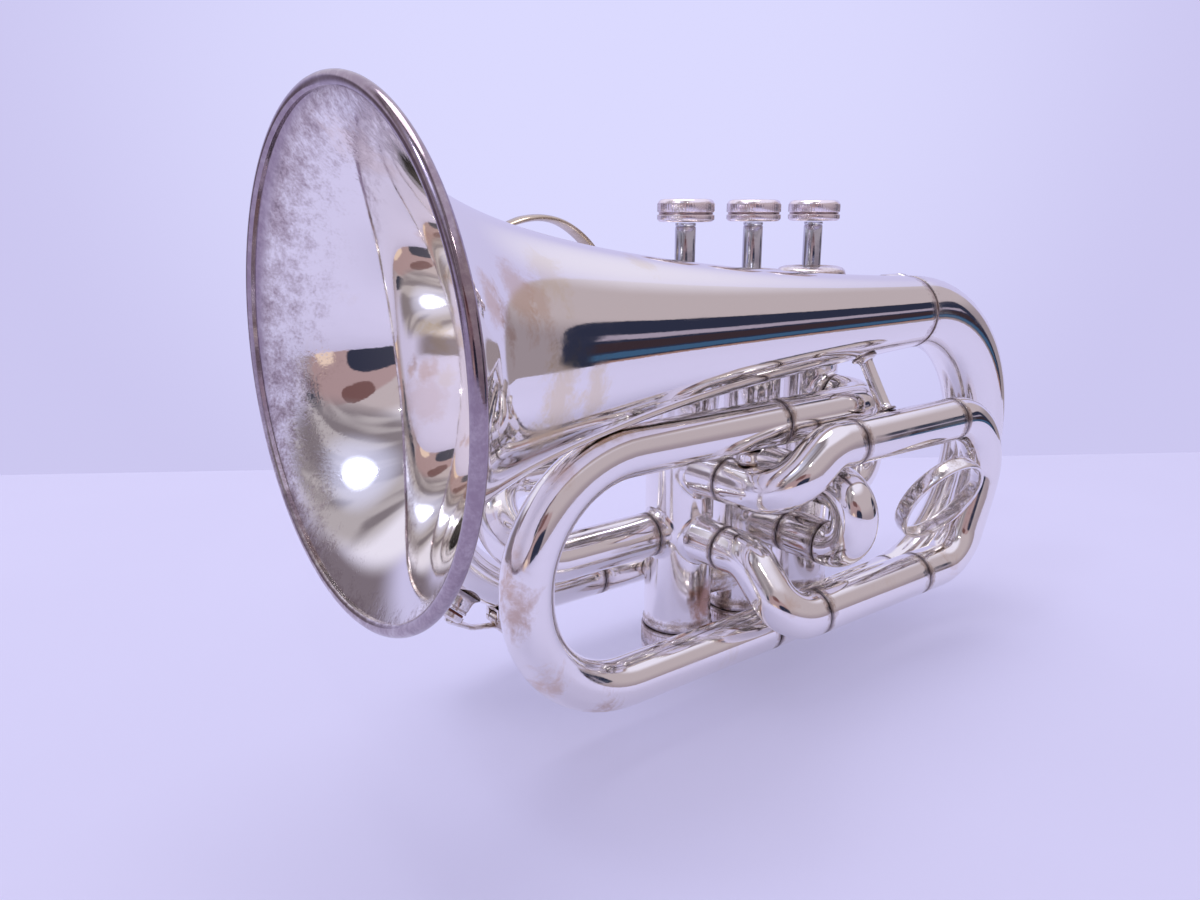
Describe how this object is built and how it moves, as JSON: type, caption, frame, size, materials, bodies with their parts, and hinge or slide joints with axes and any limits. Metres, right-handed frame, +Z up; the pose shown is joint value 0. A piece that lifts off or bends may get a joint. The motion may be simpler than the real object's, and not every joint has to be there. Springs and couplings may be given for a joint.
{
  "type": "pocket trumpet",
  "caption": "Compact trumpet with a flared bell over coiled tubing, sprung piston valves, pull slides, a finger ring, a little-finger hook and a water key.",
  "frame": {"origin": "centre of the flat foot of the second valve's bottom cap", "axes": "+Z up along the pistons, +X along the bell towards the player, +Y from the third-slide side to the leadpipe side"},
  "size_m": [0.2462, 0.1088, 0.1565],
  "materials": {
    "bell_silver": "polished silver plate, tarnished at the rim and in patches",
    "tube_silver": "polished silver plate with brown tarnish at the joints",
    "cap_silver": "tarnished silver plate, knurled",
    "button_silver": "worn silver plate, pinkish tarnish",
    "valve_nickel": "lapped nickel plate",
    "stem_steel": "polished steel",
    "spring_steel": "drawn spring wire",
    "cork": "natural cork, reddish brown"
  },
  "bodies": {
    "frame": {"bell": "bell_silver", "bell_back_bow": "tube_silver", "bell_bottom_tube": "tube_silver", "bell_post": "tube_silver", "bell_slide_brace": "tube_silver", "bottom_cap_1": "cap_silver", "bottom_cap_2": "cap_silver", "bottom_cap_3": "cap_silver", "entry_bow": "tube_silver", "first_lower_sleeve": "tube_silver", "first_upper_sleeve": "tube_silver", "front_bow": "tube_silver", "leadpipe": "tube_silver", "leadpipe_post_front": "tube_silver", "leadpipe_post_rear": "tube_silver", "mouthpiece_receiver": "tube_silver", "pinky_hook": "tube_silver", "piston_spring_1": "spring_steel", "piston_spring_2": "spring_steel", "piston_spring_3": "spring_steel", "port_brace": "tube_silver", "rear_bow": "tube_silver", "return_tube": "tube_silver", "return_tube_post_front": "tube_silver", "return_tube_post_rear": "tube_silver", "second_lower_sleeve": "tube_silver", "second_upper_sleeve": "tube_silver", "third_lower_knuckle": "tube_silver", "third_lower_sleeve": "tube_silver", "third_upper_knuckle": "tube_silver", "third_upper_sleeve": "tube_silver", "top_cap_1": "cap_silver", "top_cap_2": "cap_silver", "top_cap_3": "cap_silver", "top_leg": "tube_silver", "tuning_lower_sleeve": "tube_silver", "tuning_upper_sleeve": "tube_silver", "valve_casing_1": "tube_silver", "valve_casing_2": "tube_silver", "valve_casing_3": "tube_silver", "valve_link_21": "tube_silver", "valve_link_32": "tube_silver"},
    "valve_1": {"piston_1": "valve_nickel", "stem_1": "stem_steel", "button_1": "button_silver"},
    "valve_2": {"piston_2": "valve_nickel", "stem_2": "stem_steel", "button_2": "button_silver"},
    "valve_3": {"piston_3": "valve_nickel", "stem_3": "stem_steel", "button_3": "button_silver"},
    "slide_1": {"first_slide": "tube_silver"},
    "slide_2": {"second_slide": "tube_silver"},
    "slide_3": {"third_slide": "tube_silver", "finger_ring": "tube_silver"},
    "tuning": {"tuning_slide": "tube_silver", "water_key_nipple": "tube_silver", "water_key_saddle": "tube_silver"},
    "water_key": {"water_key_lever": "tube_silver", "water_key_cork": "cork"}
  },
  "joints": [
    {"name": "valve_1_press", "type": "slide", "parent": "frame", "child": "valve_1", "axis": [0, 0, -1], "range_m": [0, 0.0135], "stiffness_N_per_m": 120, "springref_m": -0.025, "deforming": ["piston_spring_1"]},
    {"name": "valve_2_press", "type": "slide", "parent": "frame", "child": "valve_2", "axis": [0, 0, -1], "range_m": [0, 0.0135], "stiffness_N_per_m": 120, "springref_m": -0.025, "deforming": ["piston_spring_2"]},
    {"name": "valve_3_press", "type": "slide", "parent": "frame", "child": "valve_3", "axis": [0, 0, -1], "range_m": [0, 0.0135], "stiffness_N_per_m": 120, "springref_m": -0.025, "deforming": ["piston_spring_3"]},
    {"name": "first_slide_pull", "type": "slide", "parent": "frame", "child": "slide_1", "axis": [1, 0, 0], "range_m": [0, 0.01]},
    {"name": "second_slide_pull", "type": "slide", "parent": "frame", "child": "slide_2", "axis": [0, -1, 0], "range_m": [0, 0.009]},
    {"name": "third_slide_pull", "type": "slide", "parent": "frame", "child": "slide_3", "axis": [1, 0, 0], "range_m": [0, 0.022]},
    {"name": "tuning_slide_pull", "type": "slide", "parent": "frame", "child": "tuning", "axis": [-1, 0, 0], "range_m": [0, 0.02]},
    {"name": "water_key_press", "type": "hinge", "parent": "tuning", "child": "water_key", "pos_m": [-0.07951, 0.02, 0.01755], "axis": [0, -1, 0], "range_deg": [0, 12], "stiffness_Nm_per_rad": 0.05, "springref_deg": -17.19}
  ]
}
